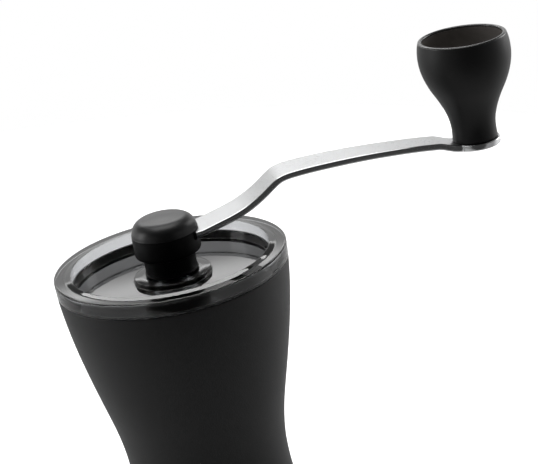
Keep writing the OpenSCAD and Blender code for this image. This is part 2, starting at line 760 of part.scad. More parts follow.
module hub_screws() {
    color([0.6, 0.6, 0.62])
        for (x = [-screw_x, screw_x])
            translate([x, 0, seam_z]) {
                translate([0, 0, -screw_l]) cylinder(r = screw_r, h = screw_l);
                difference() {
                    cylinder(r = screw_head_r, h = screw_head_h);
                    translate([-screw_head_r, -slot_w / 2, screw_head_h - slot_w])
                        cube([2 * screw_head_r, slot_w, slot_w + cut]);
                }
            }
}

module knob_washer() {
    color([0.75, 0.75, 0.75])
        translate([crank_r, 0, 0]) ring(knob_foot_r - knob_washer_in, pin_r, knob_washer_z, knob_washer_t);
}

module knob_pin() {
    head_t = pin_head_t;
    eye_z = eye_top - arm_t;
    color([0.74, 0.745, 0.75])
        translate([crank_r, 0, 0]) {
            translate([0, 0, eye_z]) cylinder(r = pin_r, h = cup_z + face_gap - eye_z);
            translate([0, 0, cup_z + face_gap]) cylinder(r = pin_head_r, h = head_t);
            translate([0, 0, eye_z - head_t / 2]) cylinder(r = pin_head_r, h = head_t / 2);
        }
}

knob_line = [[0, knob_foot_r, -0.1],
             [knob_ankle_z, knob_foot_r - knob_ankle_in, 0],
             [knob_wide_z * knob_swell, (knob_foot_r + knob_r) / 2 + 0.15, 0.56],
             [knob_wide_z, knob_r, 0],
             [knob_h, knob_rim_r, -0.33]];

module knob() {
    lip = knob_wall / 2;
    depth = knob_h - cup_depth;
    color([0.05, 0.05, 0.053])
        translate([crank_r, 0, knob_z])
            difference() {
                rotate_extrude()
                    polygon(concat(
                        [[0, 0], [knob_foot_r - knob_foot_edge, 0]],
                        side(knob_line, knob_foot_edge, knob_h - lip, 0, steps_side),
                        round_edge([knob_rim_r - lip, knob_h - lip], lip, 30, 180, 6),
                        reversed(side(knob_line, depth + cup_corner, knob_h - lip, knob_wall, 14)),
                        [[curve(knob_line, depth) - knob_wall - 0.8, depth], [0, depth]]));
                translate([0, 0, -cut]) cylinder(r = pin_bore_r, h = knob_h);
                translate([0, 0, -cut])
                    cylinder(r = knob_foot_r - knob_washer_in + washer_room, h = knob_washer_t + cut);
            }
}

jar();
mill_body();
lid();
shaft_bush();
outer_burr();
burr_holder();
drive_shaft();
thrust_washer();
upper_spring_washer();
burr_spring();
lower_spring_washer();
inner_burr();
burr_carrier();
adjusting_nut();
nut_insert();
crank_hub();
hub_cap();
hub_screws();
crank_arm();
knob_washer();
knob_pin();
knob();
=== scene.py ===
# %% [markdown]
# A slim hand mill for coffee
#
# The mill stands on a jar, and a waisted black body screws on to it. On top sits a smoked clear lid,
# and a bent steel crank with a cup-shaped knob turns the burrs inside. The solids come from the packed
# frame. This lesson dresses them: each piece that shows is built again with fine curves and rounded
# edges, it rides on the solid's body, and it gets a finish of its own. Sizes are in millimetres.

# %% Load the frame
import json
import math

import bmesh
import bpy
from mathutils import Matrix, Vector

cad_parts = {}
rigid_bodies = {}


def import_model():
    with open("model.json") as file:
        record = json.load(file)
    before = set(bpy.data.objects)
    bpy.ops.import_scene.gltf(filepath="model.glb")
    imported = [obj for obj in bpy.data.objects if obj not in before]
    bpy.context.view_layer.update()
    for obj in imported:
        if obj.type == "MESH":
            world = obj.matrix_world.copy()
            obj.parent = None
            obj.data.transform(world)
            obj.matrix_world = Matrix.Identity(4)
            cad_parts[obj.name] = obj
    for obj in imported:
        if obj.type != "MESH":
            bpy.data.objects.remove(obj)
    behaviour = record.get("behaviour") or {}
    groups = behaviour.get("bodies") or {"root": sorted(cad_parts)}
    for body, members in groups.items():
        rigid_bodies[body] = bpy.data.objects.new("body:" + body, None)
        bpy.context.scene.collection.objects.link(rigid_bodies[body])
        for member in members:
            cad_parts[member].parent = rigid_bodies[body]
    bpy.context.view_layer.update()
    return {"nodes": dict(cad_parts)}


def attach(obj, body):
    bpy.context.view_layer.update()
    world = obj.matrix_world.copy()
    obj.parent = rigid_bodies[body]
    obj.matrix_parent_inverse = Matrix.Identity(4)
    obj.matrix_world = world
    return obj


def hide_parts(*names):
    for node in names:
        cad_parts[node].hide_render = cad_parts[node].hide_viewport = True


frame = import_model()
MM = 0.001


# %% [markdown]
# The camera
#
# The photograph looks down on the lid and leans to the left. The camera's place was worked out
# from the lid's ellipse, the body's outline and the knob. Its lens is long, so lines hardly converge.
# A camera looks along its own -Z, so its matrix holds the right, up and back directions as columns.

# %% Camera
CAMERA_AT = (-35.64, -512.26, 356.18)
CAMERA_RIGHT = (0.96825, -0.18625, -0.16676)
CAMERA_UP = (0.21831, 0.30491, 0.92702)
CAMERA_BACK = (-0.12181, -0.93399, 0.33589)

camera_data = bpy.data.cameras.new("camera")
camera_data.sensor_width = 36
camera_data.lens = 119.64
camera_data.shift_x = 0.0015
camera_data.clip_start = 0.01
camera = bpy.data.objects.new("camera", camera_data)
axes = Matrix((CAMERA_RIGHT, CAMERA_UP, CAMERA_BACK)).transposed().to_4x4()
camera.matrix_world = Matrix.Translation(Vector(CAMERA_AT) * MM) @ axes
bpy.context.scene.collection.objects.link(camera)
bpy.context.scene.camera = camera
print("camera stands", round(camera.location.length, 3), "m from the jar's base")


# %% [markdown]
# Writing node trees as expressions
#
# A finish is a small network of nodes. Wiring it by hand takes many lines, so one class wraps a socket
# and lets plain arithmetic add Math nodes. One method adds any other node: its settings are set first,
# because some of them change which sockets it has, and then its sockets.

# %% A socket that can be used in arithmetic
class Wire:
    """An output socket. Arithmetic on it adds Math nodes to its tree."""

    def __init__(self, tree, socket):
        self.tree, self.socket = tree, socket

    def out(self, name):
        return Wire(self.tree, self.socket.node.outputs[name])

    def math(self, operation, first, second):
        return Net(self.tree).node("ShaderNodeMath", {"operation": operation}, _0=first, _1=second)

    def __add__(self, other): return self.math("ADD", self, other)
    def __radd__(self, other): return self.math("ADD", other, self)
    def __sub__(self, other): return self.math("SUBTRACT", self, other)
    def __rsub__(self, other): return self.math("SUBTRACT", other, self)
    def __mul__(self, other): return self.math("MULTIPLY", self, other)
    def __rmul__(self, other): return self.math("MULTIPLY", other, self)


class Net:
    """A node tree that gets one node at a time."""

    def __init__(self, tree):
        self.tree = tree

    def plug(self, slot, value):
        if isinstance(value, Wire):
            self.tree.links.new(value.socket, slot)
        elif slot.type == "RGBA":
            slot.default_value = (*value, 1)
        else:
            slot.default_value = value

    def node(self, kind, settings=None, **sockets):
        node = self.tree.nodes.new(kind)
        for key, value in (settings or {}).items():
            setattr(node, key, value)
        for name, value in sockets.items():
            self.plug(node.inputs[int(name[1:]) if name[0] == "_" else name.replace("_", " ")], value)
        return Wire(self.tree, next(s for s in node.outputs if s.enabled))


# %% A finish
class Finish(Net):
    """A material with one Principled shader and patterns on its piece's own coordinates."""

    def __init__(self, name, **constants):
        self.material = bpy.data.materials.new(name)
        self.material.use_nodes = True
        super().__init__(self.material.node_tree)
        self.shader = self.tree.nodes["Principled BSDF"]
        self.place = self.node("ShaderNodeTexCoord").out("Object")
        self.set(**constants)

    def set(self, **sockets):
        for name, value in sockets.items():
            self.plug(self.shader.inputs[name.replace("_", " ")], value)

    def noise(self, scale, detail=2.0, stretch=(1, 1, 1), rough=0.5):
        spot = self.node("ShaderNodeMapping", Vector=self.place, Scale=stretch)
        return self.node("ShaderNodeTexNoise", Vector=spot, Scale=scale, Detail=detail, Roughness=rough)

    def mix(self, mask, low, high):
        return self.node("ShaderNodeMix", {"data_type": "RGBA"}, _0=mask, _6=low, _7=high)

    def bump(self, height, strength, distance):
        self.set(Normal=self.node("ShaderNodeBump", Height=height, Strength=strength, Distance=distance))


print("node helpers ready")


# %% [markdown]
# Grained plastics
#
# The body is moulded with a fine grain, which scatters light and keeps it matte. The hub and the knob
# are a little smoother. An image of grain would need a layout of its own, so noise in the piece's own
# space is used: a fine one drives the bump, and a slow one shifts the gloss, as handling does. A flat
# black would look cut out, so the colour varies a little with both. Inside, the knob is painted a
# light brown-grey, far lighter than its black outside: painted light falling into the cup. Its lip is
# worn smoother. The hub's base lies in the cap's shade and mirrors the least.

# %% Grained plastics
def grained_plastic(name, dark, light, rough, grain, depth, specular):
    f = Finish(name, Specular_IOR_Level=specular)
    fine = f.noise(grain, 3, rough=0.6)
    slow = f.noise(55, 3)
    f.set(Base_Color=f.mix(fine * 0.6 + slow * 0.4, dark, light))
    f.set(Roughness=rough + (slow - 0.5) * 0.12 + (fine - 0.5) * 0.1)
    f.bump(fine, 0.6, depth)
    return f.material


KNOB_DARK, KNOB_LIGHT = (0.005, 0.005, 0.0051), (0.01, 0.01, 0.0102)
body_black = grained_plastic("body_black", (0.003, 0.0031, 0.0034), (0.008, 0.0082, 0.0088),
                             rough=0.5, grain=2200, depth=0.00008, specular=0.32)
hub_black = grained_plastic("hub_black", (0.0015, 0.0015, 0.0017), (0.0035, 0.0036, 0.004),
                            rough=0.38, grain=3200, depth=0.00002, specular=0.48)
# Painted shade: the hub's base is painted darker than the cap and mirrors less, for the cap's shade over it.
base_black = grained_plastic("base_black", (0.001, 0.001, 0.0011), (0.002, 0.002, 0.0022),
                             rough=0.45, grain=3200, depth=0.00002, specular=0.12)
knob_black = grained_plastic("knob_black", KNOB_DARK, KNOB_LIGHT,
                             rough=0.48, grain=2800, depth=0.00003, specular=0.27)
# Painted light: the cup's inside is painted far lighter than the black outside, standing in for light
# falling in.
knob_brown = grained_plastic("knob_brown", (0.16, 0.148, 0.138), (0.21, 0.195, 0.183),
                             rough=0.6, grain=2800, depth=0.00003, specular=0.2)
lip_black = grained_plastic("lip_black", KNOB_DARK, KNOB_LIGHT,
                            rough=0.26, grain=2800, depth=0.00001, specular=0.7)
inner_black = grained_plastic("inner_black", (0.012, 0.012, 0.0125), (0.022, 0.022, 0.023),
                              rough=0.5, grain=2400, depth=0.00004, specular=0.45)
print("grained plastics:", body_black.name, hub_black.name, base_black.name, knob_black.name,
      knob_brown.name, lip_black.name, inner_black.name)


# %% [markdown]
# Smoked clear plastic
#
# The lid and the jar are moulded in clear plastic with a grey tint. Light bends through it, and its
# faces mirror the studio. A see-through mix would lose the bending, so the shader's own transmission is
# used. The smoke is absorption inside the plastic, so a long way through it is darker than a short one.
# Only the gloss varies, where fine wiping marks lie. The lid's underside is etched: it barely bends or
# mirrors light, so nothing glints from below, and its tint is much darker, which is painted shade over
# the hopper seen through it. A mask on the faces mixes the two kinds of face in one material, because
# light has to leave a smoked piece by the material that it came in by.

# %% Smoked clear plastic
# The underside's dark tint is painted shade: it darkens what is seen of the hopper through it.
CLEAR_TINT, UNDERSIDE_PAINTED_SHADE, SMOKE = (0.96, 0.965, 0.97), (0.3, 0.305, 0.31), (0.3, 0.31, 0.33)
CLEAR_BEND, ETCHED_BEND = 1.5, 1.01


def smoked_plastic(name, density, etched_painted_shade=None):
    f = Finish(name, Transmission_Weight=1.0, IOR=CLEAR_BEND, Base_Color=CLEAR_TINT)
    wiped = f.noise(260, 4, (1, 1, 0.3))
    f.set(Roughness=0.008 + wiped * 0.03)
    ends = f.tree.nodes["Material Output"].inputs
    f.plug(ends["Volume"], f.node("ShaderNodeVolumeAbsorption", Color=SMOKE, Density=density))
    if etched_painted_shade:
        dull = f.node("ShaderNodeBsdfPrincipled", Transmission_Weight=1.0, IOR=ETCHED_BEND,
                      Base_Color=UNDERSIDE_PAINTED_SHADE, Roughness=0.4 + wiped * 0.2)
        mask = f.node("ShaderNodeAttribute", {"attribute_name": etched_painted_shade}).out("Fac")
        clear = Wire(f.tree, f.shader.outputs[0])
        f.plug(ends["Surface"], f.node("ShaderNodeMixShader", _0=mask, _1=clear, _2=dull))
    return f.material


lid_smoke = smoked_plastic("lid_smoke", 140, "etched_painted_shade")
jar_smoke = smoked_plastic("jar_smoke", 450)
print("smoked plastics:", lid_smoke.name, jar_smoke.name)


# %% [markdown]
# Steel, brass and ceramic
#
# The arm is cut from sheet and finished satin, and its cut edges are polished. Though it is one steel,
# the top is painted darker and the edges lighter: painted shade and painted light. The shaft, pin and
# washers are turned on a lathe and carry fine rings. One kind of noise serves all: how far it is
# stretched along each axis makes it grain, rings or an even dull finish. The burrs are white ceramic
# with a ground face.

# %% Metals
def steel(name, colour, rough, stretch, spread, depth):
    f = Finish(name, Metallic=1.0)
    lines = f.noise(1, 4, stretch, 0.65)
    slow = f.noise(70, 2)
    f.set(Base_Color=f.mix(lines * 0.8 + slow * 0.2, [c * 0.9 for c in colour], colour))
    f.set(Roughness=rough + (lines - 0.5) * spread + (slow - 0.5) * 0.06)
    f.bump(lines, 0.4, depth)
    return f.material


TURNED = (150, 150, 3800)
# Painted shade and painted light: the satin top is painted darker than the polished edges of the same steel.
arm_satin = steel("arm_satin", (0.54, 0.544, 0.548), rough=0.3,
                  stretch=(1100, 2200, 2200), spread=0.24, depth=0.00002)
arm_polish = steel("arm_polish", (0.72, 0.725, 0.73), rough=0.15,
                   stretch=(700, 700, 2400), spread=0.1, depth=0.000004)
turned_steel = steel("turned_steel", (0.72, 0.725, 0.73), rough=0.26,
                     stretch=TURNED, spread=0.16, depth=0.00001)
spring_steel = steel("spring_steel", (0.66, 0.665, 0.68), rough=0.28,
                     stretch=(900, 900, 900), spread=0.16, depth=0.00001)
turned_brass = steel("turned_brass", (0.78, 0.58, 0.25), rough=0.28,
                     stretch=TURNED, spread=0.16, depth=0.00001)
print("metals:", arm_satin.name, arm_polish.name, turned_steel.name, spring_steel.name, turned_brass.name)


# %% Ceramic and bush
def pale_ground(name, dark, light, rough):
    f = Finish(name, Specular_IOR_Level=0.5)
    fine = f.noise(2200, 4, rough=0.6)
    slow = f.noise(200, 3)
    f.set(Base_Color=f.mix(slow * 0.7 + fine * 0.3, dark, light))
    f.set(Roughness=rough + slow * 0.12)
    f.bump(fine, 0.3, 0.00002)
    return f.material


burr_ceramic = pale_ground("burr_ceramic", (0.74, 0.72, 0.67), (0.88, 0.87, 0.83), 0.32)
bush_acetal = pale_ground("bush_acetal", (0.62, 0.61, 0.57), (0.74, 0.73, 0.69), 0.38)
print("pale pieces:", burr_ceramic.name, bush_acetal.name)


# %% [markdown]
# Outlines
#
# Most of the mill is round, as if it came off a lathe, so each piece starts as half an outline of
# radius and height. A long side is a smooth curve through a few stations of height, radius and slope,
# the same as in the solids. A corner can carry a rounding, because a sharp edge never catches light.

# %% Curves and corners
def station_curve(stations, x):
    i = 0
    while i < len(stations) - 2 and x > stations[i + 1][0]:
        i += 1
    (xa, ya, sa), (xb, yb, sb) = stations[i], stations[i + 1]
    h, t = xb - xa, (x - xa) / (xb - xa)
    return (ya * (1 + 2 * t) * (1 - t) ** 2 + yb * t * t * (3 - 2 * t)
            + h * (sa * t * (1 - t) ** 2 - sb * t * t * (1 - t)))


def station_slope(stations, x):
    return (station_curve(stations, x + 0.01) - station_curve(stations, x - 0.01)) / 0.02


def spaced(low, high, count):
    return [low + (high - low) * i / count for i in range(count + 1)]


def side(stations, low, high, inset=0.0, count=60):
    return [(station_curve(stations, z) - inset, z) for z in spaced(low, high, count)]


def rounded(points):
    """A closed outline from (r, z) or (r, z, rounding). A rounding is held to half its sides."""
    made = []
    for i, point in enumerate(points):
        p = Vector(point[:2])
        radius = point[2] if len(point) == 3 else 0
        to_a, to_b = Vector(points[i - 1][:2]) - p, Vector(points[(i + 1) % len(points)][:2]) - p
        if not radius:
            made.append(tuple(p))
            continue
        half = to_a.angle(to_b) / 2
        cut = min(radius / math.tan(half), 0.49 * to_a.length, 0.49 * to_b.length)
        radius = cut * math.tan(half)
        middle = p + (to_a.normalized() + to_b.normalized()).normalized() * (radius / math.sin(half))
        first, last = p + to_a.normalized() * cut - middle, p + to_b.normalized() * cut - middle
        sweep = first.angle_signed(last)
        for t in spaced(0, 1, max(3, int(abs(sweep) / 0.16))):
            made.append(tuple(middle + Matrix.Rotation(-t * sweep, 2) @ first))
    return made


print("corner of 2 x 2 with 1 mm rounding has", len(rounded([(0, 0), (2, 0, 1), (2, 2), (0, 2)])), "points")


# %% [markdown]
# Turning a piece
#
# The outline is swept round the axis. Blender's Screw modifier would do that too, but a few lines of
# mesh code also close the poles and let a piece turn round any upright axis, such as the knob's.

# %% Lathe
def lathe(outline, at=(0, 0), around=160):
    """A closed bmesh from an outline in mm. A point on the axis becomes a pole."""
    bm = bmesh.new()
    rings = []
    for r, z in outline:
        turns = 1 if r < 1e-6 else around
        angles = (2 * math.pi * i / turns for i in range(turns))
        rings.append([bm.verts.new(((at[0] + r * math.cos(a)) * MM, (at[1] + r * math.sin(a)) * MM, z * MM))
                      for a in angles])
    for low, high in zip(rings, rings[1:] + rings[:1]):
        if len(low) == len(high) == 1:
            continue
        for i in range(around):
            k = (i + 1) % around
            corners = [low[i % len(low)], low[k % len(low)], high[k % len(high)], high[i % len(high)]]
            bm.faces.new(list(dict.fromkeys(corners)))
    bmesh.ops.recalc_face_normals(bm, faces=bm.faces)
    return bm


def to_mesh(bm, name, angle=32):
    mesh = bpy.data.meshes.new(name)
    bm.to_mesh(mesh)
    bm.free()
    mesh.polygons.foreach_set("use_smooth", [True] * len(mesh.polygons))
    mesh.set_sharp_from_angle(angle=math.radians(angle))
    return mesh


def add_piece(name, mesh, body, replaced, slot, *materials):
    for material in materials:
        mesh.materials.append(material)
    piece = bpy.data.objects.new(name, mesh)
    bpy.context.scene.collection.objects.link(piece)
    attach(piece, body)
    if replaced:
        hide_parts(replaced)
    print(name, "has", len(mesh.polygons), "faces and rides on", body)


def turned(name, outline, body, replaced, slot, material, at=(0, 0), around=160):
    add_piece(name, to_mesh(lathe(outline, at, around), name), body, replaced, slot, material)


print("lathe ready")


# %% [markdown]
# Jar
#
# One line runs from the floor over the jar's belly, in at the waist and out to the lid. The jar and the
# body share it, so their joint is flush. The jar has a screw neck that goes up inside the body.

# %% Jar
JAR_TOP, JAR_WALL, JAR_FLOOR, SHOULDER_Z, NECK_R, NECK_TOP = 84, 2.2, 3, 80.6, 20.3, 96
BODY_TOP, BODY_TOP_R = 166.3, 35.85
OUTSIDE = [(0, 31, 0.0533), (45, 32.5, 0), (103.5, 25.15, 0), (124, 28.05, 0.245),
           (BODY_TOP, BODY_TOP_R, 0.07)]


def outside_r(z):
    return station_curve(OUTSIDE, z)


jar_outline = rounded(
    [(0, 0), (outside_r(0) - 0.1, 0, 4)] + side(OUTSIDE, 8.2, JAR_TOP - 0.8)
    + [(outside_r(JAR_TOP), JAR_TOP, 0.35), (NECK_R, JAR_TOP, 0.5), (NECK_R, NECK_TOP, 0.7),
       (NECK_R - JAR_WALL, NECK_TOP, 0.6), (NECK_R - JAR_WALL, SHOULDER_Z, 2.5)]
    + side(OUTSIDE, 77, 13.2, JAR_WALL) + [(outside_r(6) - JAR_WALL, JAR_FLOOR, 5), (0, JAR_FLOOR)])
turned("jar_shell", jar_outline, "jar", "jar", "smoked_plastic", jar_smoke, around=192)


# %% [markdown]
# Screw thread
#
# The neck carries a short thread with ends that fade out. It follows a path, so Geometry Nodes make it:
# a spiral, and a small round profile swept along it. The spline's own position, from 0 to 1, thins the
# profile at both ends.

# %% Geometry Nodes helpers
class Grower(Net):
    """A geometry tree with named inputs. It ends in Realize Instances and Set Material."""

    def __init__(self, name, **sizes):
        tree = bpy.data.node_groups.new(name, "GeometryNodeTree")
        super().__init__(tree)
        self.ids = {}
        for label, value in sizes.items():
            kind = "NodeSocketInt" if isinstance(value, int) else "NodeSocketFloat"
            socket = tree.interface.new_socket(label.replace("_", " "), in_out="INPUT", socket_type=kind)
            self.ids[socket.identifier] = value
        tree.interface.new_socket("Geometry", in_out="OUTPUT", socket_type="NodeSocketGeometry")
        self.given = tree.nodes.new("NodeGroupInput")

    def size(self, label):
        return Wire(self.tree, self.given.outputs[label])

    def vector(self, x=0.0, y=0.0, z=0.0):
        return self.node("ShaderNodeCombineXYZ", X=x, Y=y, Z=z)

    def grow(self, geometry, material):
        smooth = self.node("GeometryNodeSetShadeSmooth", Geometry=geometry)
        whole = self.node("GeometryNodeRealizeInstances", Geometry=smooth)
        dressed = self.node("GeometryNodeSetMaterial", Geometry=whole, Material=material)
        end = self.tree.nodes.new("NodeGroupOutput")
        self.plug(end.inputs[0], dressed)
        holder = bpy.data.objects.new(self.tree.name, bpy.data.meshes.new("empty"))
        bpy.context.scene.collection.objects.link(holder)
        modifier = holder.modifiers.new("grow", "NODES")
        modifier.node_group = self.tree
        for identifier, value in self.ids.items():
            modifier[identifier] = value
        bpy.context.view_layer.update()
        seen = holder.evaluated_get(bpy.context.evaluated_depsgraph_get())
        mesh = bpy.data.meshes.new_from_object(seen)
        holder.modifiers.clear()
        bpy.data.objects.remove(holder)
        mesh.set_sharp_from_angle(angle=math.radians(40))
        return mesh


# %% Thread on the jar's neck
THREAD_R, THREAD_RISE = 0.95, 4.2
thread = Grower("thread_tree", Radius=NECK_R * MM, Ridge=THREAD_R * MM, Turns=1.6,
                Rise=THREAD_RISE * MM, Foot=(JAR_TOP + THREAD_RISE) * MM)
path = thread.node("GeometryNodeCurveSpiral", Resolution=64, Rotations=thread.size("Turns"),
                   Start_Radius=thread.size("Radius"), End_Radius=thread.size("Radius"),
                   Height=thread.size("Rise"))
path = thread.node("GeometryNodeTransform", Geometry=path, Translation=thread.vector(z=thread.size("Foot")))
along = thread.node("GeometryNodeSplineParameter")
fade = along.math("MINIMUM", along.math("MINIMUM", along * 12, (1 - along) * 12), 1.0)
profile = thread.node("GeometryNodeCurvePrimitiveCircle", Resolution=12, Radius=thread.size("Ridge"))
ridge = thread.node("GeometryNodeCurveToMesh", Curve=path, Profile_Curve=profile,
                    Scale=fade * 0.95 + 0.05, Fill_Caps=True)
add_piece("jar_thread", thread.grow(ridge, jar_smoke), "jar", None, "smoked_plastic")


# %% [markdown]
# Body
#
# The body's shell also holds the hopper, its sloping floor and the shelf above the burrs. Three spokes
# carry the bearing boss in the middle. They repeat, so Geometry Nodes make one from a rounded profile
# and set copies round the axis.

# %% Body shell
SHELF_Z, FEED_R, BORE_R, BODY_WALL, BODY_FOOT, HOPPER_Z = 125, 15, 22, 2.4, 84.1, 140.4
MOUTH_R, MOUTH_TOP = BODY_TOP_R - BODY_WALL, BODY_TOP + 0.3
LIP_R = MOUTH_R + 1.2
body_outline = rounded(
    [(BORE_R, BODY_FOOT, 0.6), (outside_r(BODY_FOOT), BODY_FOOT, 0.35)]
    + side(OUTSIDE, BODY_FOOT + 0.9, BODY_TOP - 1.4, count=90)
    + [(BODY_TOP_R, BODY_TOP, 0.5), (LIP_R, BODY_TOP, 0.1), (LIP_R, MOUTH_TOP, 0.3),
       (MOUTH_R, MOUTH_TOP, 0.2)]
    + side(OUTSIDE, BODY_TOP - 1.4, 142, BODY_WALL, 30)
    + [(outside_r(140.5) - BODY_WALL, HOPPER_Z), (FEED_R, SHELF_Z + 2.5, 0.5),
       (FEED_R, SHELF_Z), (BORE_R, SHELF_Z)])
turned("body_shell", body_outline, "body", "mill_body", "body_plastic", body_black, around=192)
BOSS_BORE_R, BOSS_R, BOSS_LOW, BOSS_TOP = 5.55, 7.75, 136, 149
boss_outline = rounded([
    (BOSS_BORE_R, BOSS_LOW), (BOSS_R, BOSS_LOW, 0.5), (BOSS_R, BOSS_TOP, 0.5), (BOSS_BORE_R, BOSS_TOP)])
turned("bearing_boss", boss_outline, "body", None, "body_plastic", body_black, around=64)

# %% Spokes
spokes = Grower("spoke_tree", Count=3, Start=7.4 * MM, End=29 * MM, Thickness=3.2 * MM,
                Depth=10 * MM, Middle=142.5 * MM)
line = spokes.node("GeometryNodeCurvePrimitiveLine", Start=spokes.vector(x=spokes.size("Start")),
                   End=spokes.vector(x=spokes.size("End")))
section = spokes.node("GeometryNodeCurvePrimitiveQuadrilateral", Width=spokes.size("Thickness"),
                      Height=spokes.size("Depth"))
section = spokes.node("GeometryNodeFilletCurve", {"mode": "POLY"}, Curve=section, Radius=0.6 * MM, Count=4)
spoke = spokes.node("GeometryNodeCurveToMesh", Curve=line, Profile_Curve=section, Fill_Caps=True)
dots = spokes.node("GeometryNodeMeshLine", Count=spokes.size("Count"), Offset=(0, 0, 0))
place = spokes.node("GeometryNodeInputIndex") * (2 * math.pi / 3)
copies = spokes.node("GeometryNodeInstanceOnPoints", Points=dots, Instance=spoke,
                     Rotation=spokes.vector(z=place))
copies = spokes.node("GeometryNodeTransform", Geometry=copies,
                     Translation=spokes.vector(z=spokes.size("Middle")))
add_piece("hopper_spokes", spokes.grow(copies, body_black), "body", None, "body_plastic")


# %% [markdown]
# Lid
#
# The lid is one thick moulding: a rim with a low bead at its inner edge, a floor sunk a few millimetres,
# and a flat collar in the middle. Under the rim, a groove sits over the body's lip. Its top is polished,
# so small slopes and roundings decide what it mirrors: the bead is the bright line round the recess. The
# faces below and in the groove are marked, for the mask in the lid's material that makes them etched and
# painted darker, which is painted shade.

# %% Lid
LID_R, RIM_TOP, SKIRT_Z, RECESS_R, RECESS_Z = 36, 171.25, 166.4, 30.7, 164.9
COLLAR_R, COLLAR_TOP, HOLE_R, PLUG_R, LID_WALL = 11.9, 166.5, 5.4, 33.15, 2
GROOVE_R, GROOVE_TOP = MOUTH_R + 1.4, MOUTH_TOP + 0.05
BEAD_H, RIM_FALL = 0.27, -0.0035
RIM_LINE = [(0, RIM_TOP, -0.08), (0.4, RIM_TOP - 0.04, -0.14), (1.6, RIM_TOP - 0.22, -0.15),
            (2.2, RIM_TOP - BEAD_H, RIM_FALL), (5.3, RIM_TOP - 0.281, RIM_FALL)]
rim_bead = [(RECESS_R + u, station_curve(RIM_LINE, u)) for u in spaced(4.4, 0.4, 24)]
floor_rings = [(r, RECESS_Z) for r in spaced(29.8, COLLAR_R + 0.6, 6)]
UNDER_Z, UNDER_R = RECESS_Z - LID_WALL, COLLAR_R - LID_WALL
lid_outline = rounded(
    [(BODY_TOP_R, SKIRT_Z, 0.1), (LID_R, RIM_TOP - BEAD_H, 0.6)] + rim_bead
    + [(RECESS_R, RIM_TOP, 0.3), (RECESS_R - 0.2, RECESS_Z, 0.4)]
    + floor_rings
    + [(COLLAR_R, RECESS_Z, 0.3), (COLLAR_R, COLLAR_TOP, 0.25), (HOLE_R, COLLAR_TOP, 0.2),
       (HOLE_R, COLLAR_TOP - LID_WALL), (UNDER_R, COLLAR_TOP - LID_WALL, 0.3), (UNDER_R, UNDER_Z, 0.3),
       (PLUG_R, UNDER_Z, 0.5), (PLUG_R, GROOVE_TOP, 0.2), (GROOVE_R, GROOVE_TOP, 0.2),
       (GROOVE_R, SKIRT_Z, 0.2)])
lid_mesh = to_mesh(lathe(lid_outline, around=256), "lid_shell")
# Faces under the lid and in the groove are marked for the etched finish and its painted shade.
etched_painted_shade = lid_mesh.attributes.new("etched_painted_shade", "FLOAT", "FACE")
for face in lid_mesh.polygons:
    r, z = face.center.xy.length / MM, face.center.z / MM
    in_groove = PLUG_R - 0.1 < r < BODY_TOP_R - 0.1 and z < MOUTH_TOP + 0.3
    etched_painted_shade.data[face.index].value = float(in_groove or z < RECESS_Z - 0.2 or r < HOLE_R + 0.1)
add_piece("lid_shell", lid_mesh, "lid", "lid", "smoked_plastic", lid_smoke)


# %% [markdown]
# Crank hub and cap
#
# The hub stands on a narrow neck over the lid's collar, and the cap closes it above the arm. A thin
# seam shows between the two, because both edges are rounded. All this is round, so the lathe makes it.
# Only the cheek under the arm is square: it is a cube with bevelled edges.

# %% Hub
HUB_Z, HUB_NECK_TOP, SEAM_Z, HUB_R, HUB_NECK_R = 166.8, 172.7, 179.5, 10.25, 7.95
SOCKET_R, SOCKET_TOP = 4.1, 175.5
FOOT_R, FOOT_TOP = HUB_NECK_R + 0.3, HUB_Z + 0.6
hub_outline = rounded([
    (0, SOCKET_TOP), (SOCKET_R, SOCKET_TOP), (SOCKET_R, HUB_Z, 0.3),
    (FOOT_R, HUB_Z, 0.2), (FOOT_R, FOOT_TOP, 0.2),
    (HUB_NECK_R, FOOT_TOP, 0.15), (HUB_NECK_R, HUB_NECK_TOP, 0.3), (HUB_R, HUB_NECK_TOP, 1.4),
    (HUB_R, SEAM_Z, 0.15), (0, SEAM_Z)])
turned("hub_base", hub_outline, "crank", "crank_hub", "black_plastic", base_black, around=128)

CHEEK_AT, CHEEK_SIZE, CHEEK_ROUND = (4.45 * MM, 0, 178.1 * MM), (8.9 * MM, 13 * MM, 2.7 * MM), 0.3
cheek_bm = bmesh.new()
cheek_place = Matrix.Translation(CHEEK_AT) @ Matrix.Diagonal((*CHEEK_SIZE, 1))
bmesh.ops.create_cube(cheek_bm, size=1, matrix=cheek_place)
bmesh.ops.bevel(cheek_bm, geom=cheek_bm.edges[:], offset=CHEEK_ROUND * MM, segments=4,
                profile=0.5, affect="EDGES")
add_piece("hub_cheek", to_mesh(cheek_bm, "hub_cheek"), "crank", None, "black_plastic", base_black)

# %% Cap
CAP_TOP, CAP_ROUND, CAP_DOME = 184.6, 4.2, 0.4
flat_r = HUB_R - 0.2 - CAP_ROUND
round_z = CAP_TOP - CAP_DOME - CAP_ROUND
cap_outline = (
    rounded([(0, SEAM_Z), (HUB_R, SEAM_Z, 0.15), (HUB_R - 0.1, SEAM_Z + 0.7), (0, SEAM_Z + 0.7)])[:-1]
    + [(flat_r + CAP_ROUND * math.cos(a), round_z + CAP_ROUND * math.sin(a)) for a in spaced(0.03, 1.46, 24)]
    + [(flat_r * (1 - t), CAP_TOP - CAP_DOME * (1 - t) ** 2) for t in spaced(0.05, 1, 12)])
turned("hub_cap_dome", cap_outline, "crank", "hub_cap", "black_plastic", hub_black, around=128)


# %% [markdown]
# Crank arm
#
# The arm is a strip of sheet steel, bent up from the hub and then nearly level to a round eye under the
# knob. A Bevel modifier on a bent strip would need the edges picked out first, so the edges are drawn
# instead. The outline from above is drawn once and mirrored. Rows of it, set in and down step by step,
# make the rounded edges, and every point is then bent along the arm's line. One more row, just inside
# the rounding, keeps the flat faces from shading as if they bulged.

